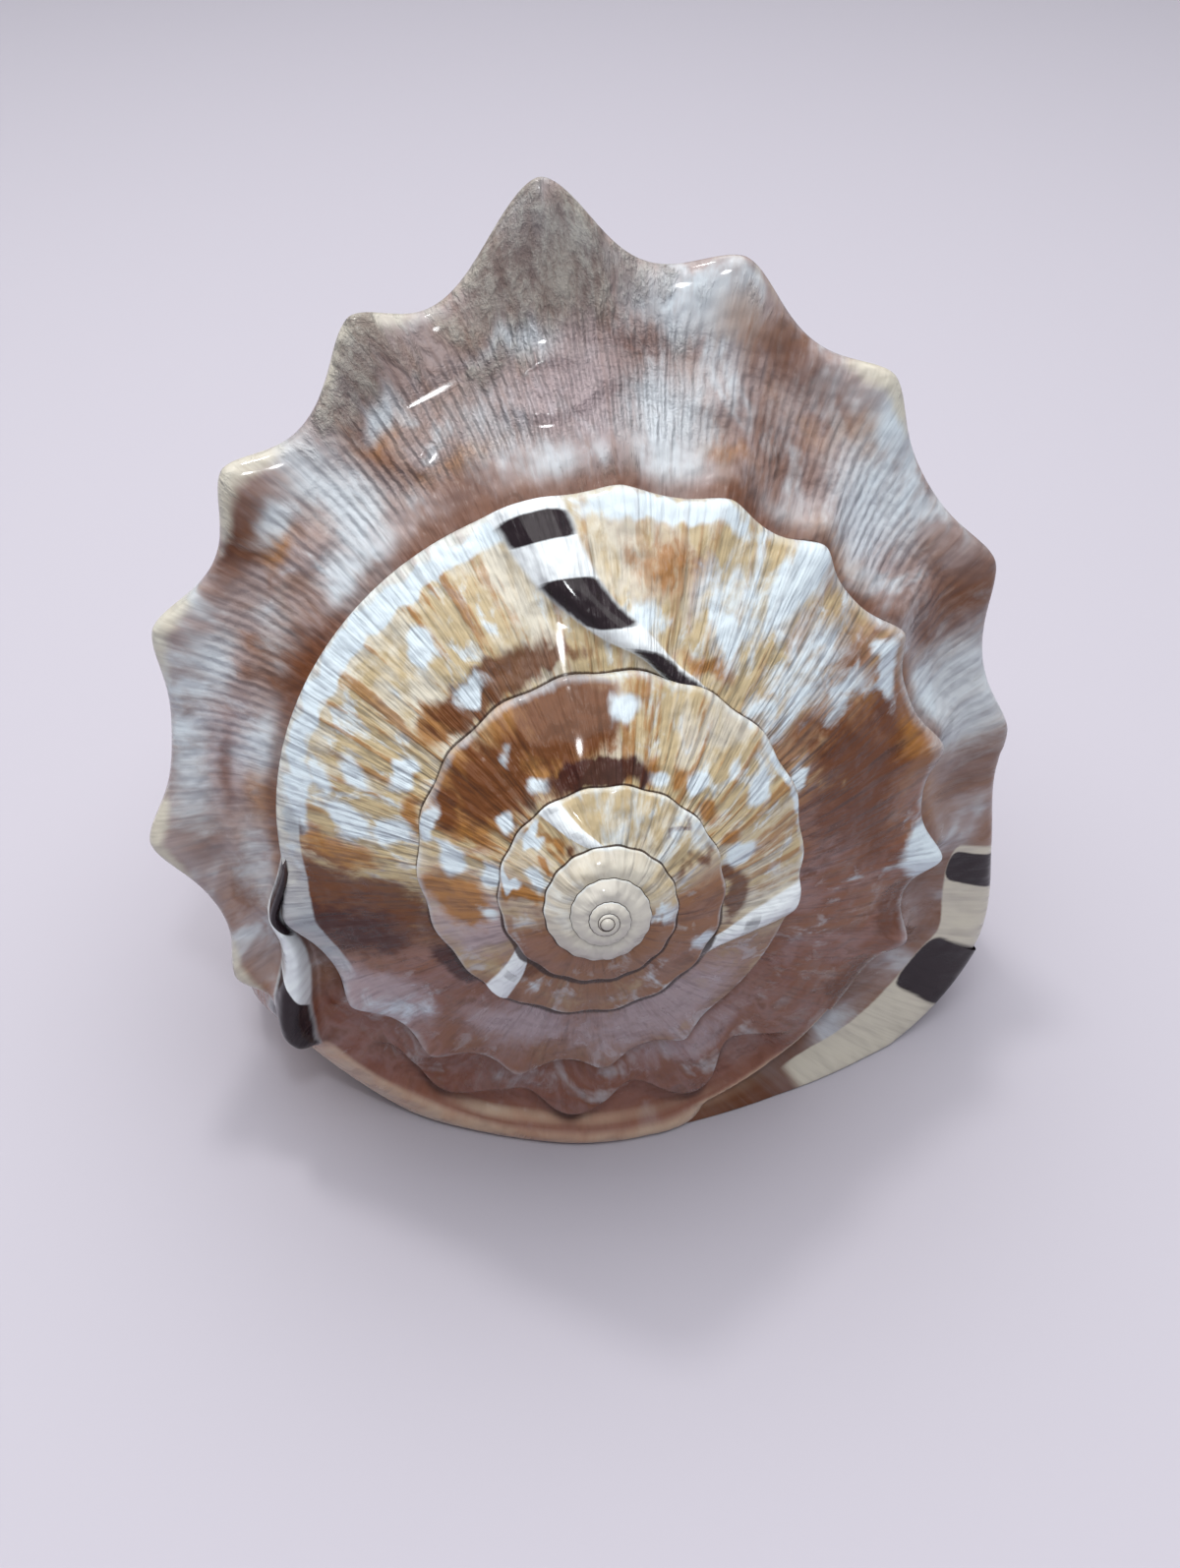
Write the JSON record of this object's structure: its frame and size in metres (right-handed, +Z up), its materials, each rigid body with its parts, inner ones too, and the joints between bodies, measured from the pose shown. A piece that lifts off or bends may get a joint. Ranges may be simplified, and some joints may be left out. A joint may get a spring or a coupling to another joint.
{
  "type": "helmet shell",
  "caption": "Heavy sea snail shell with a low coiled spire, a knobbed shoulder on the last whorl, a thick outer lip and a flat underside with a narrow toothed mouth.",
  "frame": {"origin": "centre of the bounding box seen from above, on the surface the shell rests on", "axes": "+Z up, -Y towards the apex, +Y towards the canal, +X towards the outer lip"},
  "size_m": [0.1426, 0.1796, 0.144],
  "materials": {
    "shell": "glossy, mottled brown, cream and bluish white"
  },
  "bodies": {
    "root": {"helmet_shell": "shell"}
  },
  "joints": []
}
